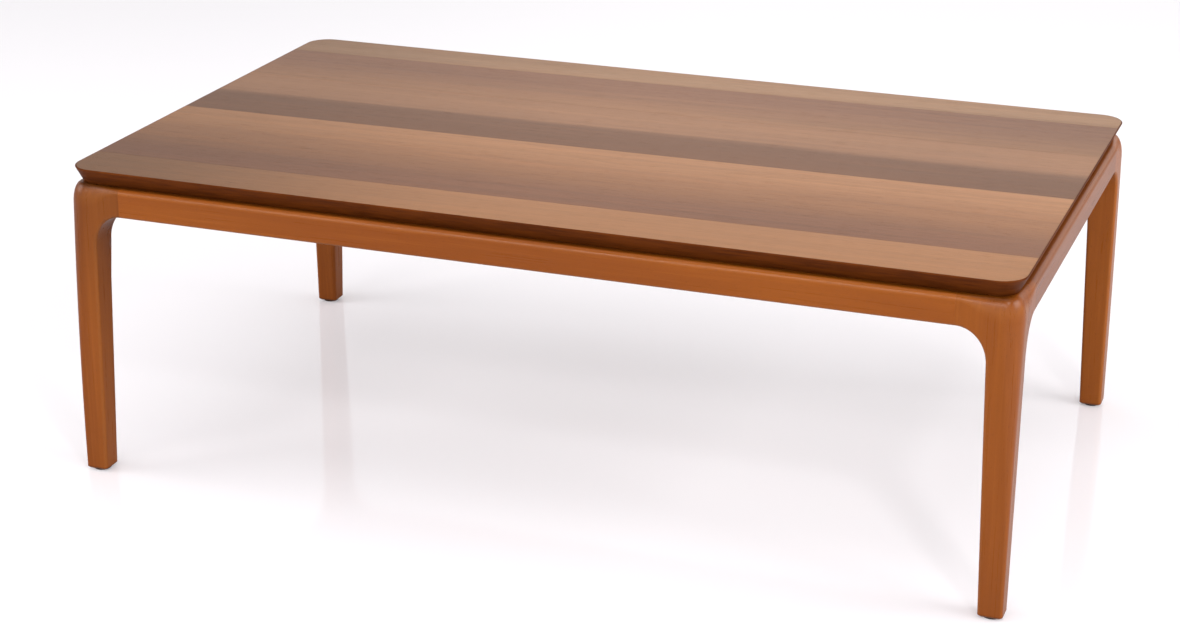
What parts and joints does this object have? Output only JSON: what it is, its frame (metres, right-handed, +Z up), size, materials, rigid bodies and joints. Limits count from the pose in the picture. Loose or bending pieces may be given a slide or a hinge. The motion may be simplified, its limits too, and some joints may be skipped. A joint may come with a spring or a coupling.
{
  "type": "coffee table",
  "caption": "Low rectangular wooden coffee table: a striped veneered top with rounded corners on a frame of rails and tapered legs that join them in curved shoulders.",
  "frame": {"origin": "on the floor under the middle of the table top", "axes": "+X along the length, to the right seen from the front; +Y across the width, to the back; +Z up"},
  "size_m": [1.2, 0.7, 0.41],
  "materials": {
    "face_veneer_1": "satin lacquer",
    "face_veneer_2": "satin lacquer",
    "face_veneer_3": "satin lacquer",
    "face_veneer_4": "satin lacquer",
    "face_veneer_5": "satin lacquer",
    "edge_lipping": "dark stain, satin lacquer",
    "core_board": "raw",
    "backing_veneer": "matt",
    "leg_wood": "brown stain, satin lacquer",
    "rail_wood": "brown stain, satin lacquer",
    "dowel_wood": "raw",
    "screw_steel": "zinc plated",
    "glide_plastic": "matt"
  },
  "bodies": {
    "root": {"top_veneer_leaf_1": "face_veneer_1", "top_veneer_leaf_2": "face_veneer_2", "top_veneer_leaf_3": "face_veneer_3", "top_veneer_leaf_4": "face_veneer_4", "top_veneer_leaf_5": "face_veneer_5", "top_edge_lipping": "edge_lipping", "top_core_board": "core_board", "top_backing_veneer": "backing_veneer", "leg_front_left": "leg_wood", "leg_front_right": "leg_wood", "leg_back_right": "leg_wood", "leg_back_left": "leg_wood", "rail_front": "rail_wood", "rail_right": "rail_wood", "rail_back": "rail_wood", "rail_left": "rail_wood", "dowel_front_start_lower": "dowel_wood", "dowel_front_start_upper": "dowel_wood", "dowel_front_end_lower": "dowel_wood", "dowel_front_end_upper": "dowel_wood", "dowel_right_start_lower": "dowel_wood", "dowel_right_start_upper": "dowel_wood", "dowel_right_end_lower": "dowel_wood", "dowel_right_end_upper": "dowel_wood", "dowel_back_start_lower": "dowel_wood", "dowel_back_start_upper": "dowel_wood", "dowel_back_end_lower": "dowel_wood", "dowel_back_end_upper": "dowel_wood", "dowel_left_start_lower": "dowel_wood", "dowel_left_start_upper": "dowel_wood", "dowel_left_end_lower": "dowel_wood", "dowel_left_end_upper": "dowel_wood", "top_screw_front_1": "screw_steel", "top_screw_front_2": "screw_steel", "top_screw_front_3": "screw_steel", "top_screw_front_4": "screw_steel", "top_screw_right_1": "screw_steel", "top_screw_right_2": "screw_steel", "top_screw_back_1": "screw_steel", "top_screw_back_2": "screw_steel", "top_screw_back_3": "screw_steel", "top_screw_back_4": "screw_steel", "top_screw_left_1": "screw_steel", "top_screw_left_2": "screw_steel", "glide_front_left": "glide_plastic", "glide_front_right": "glide_plastic", "glide_back_right": "glide_plastic", "glide_back_left": "glide_plastic"}
  },
  "joints": []
}
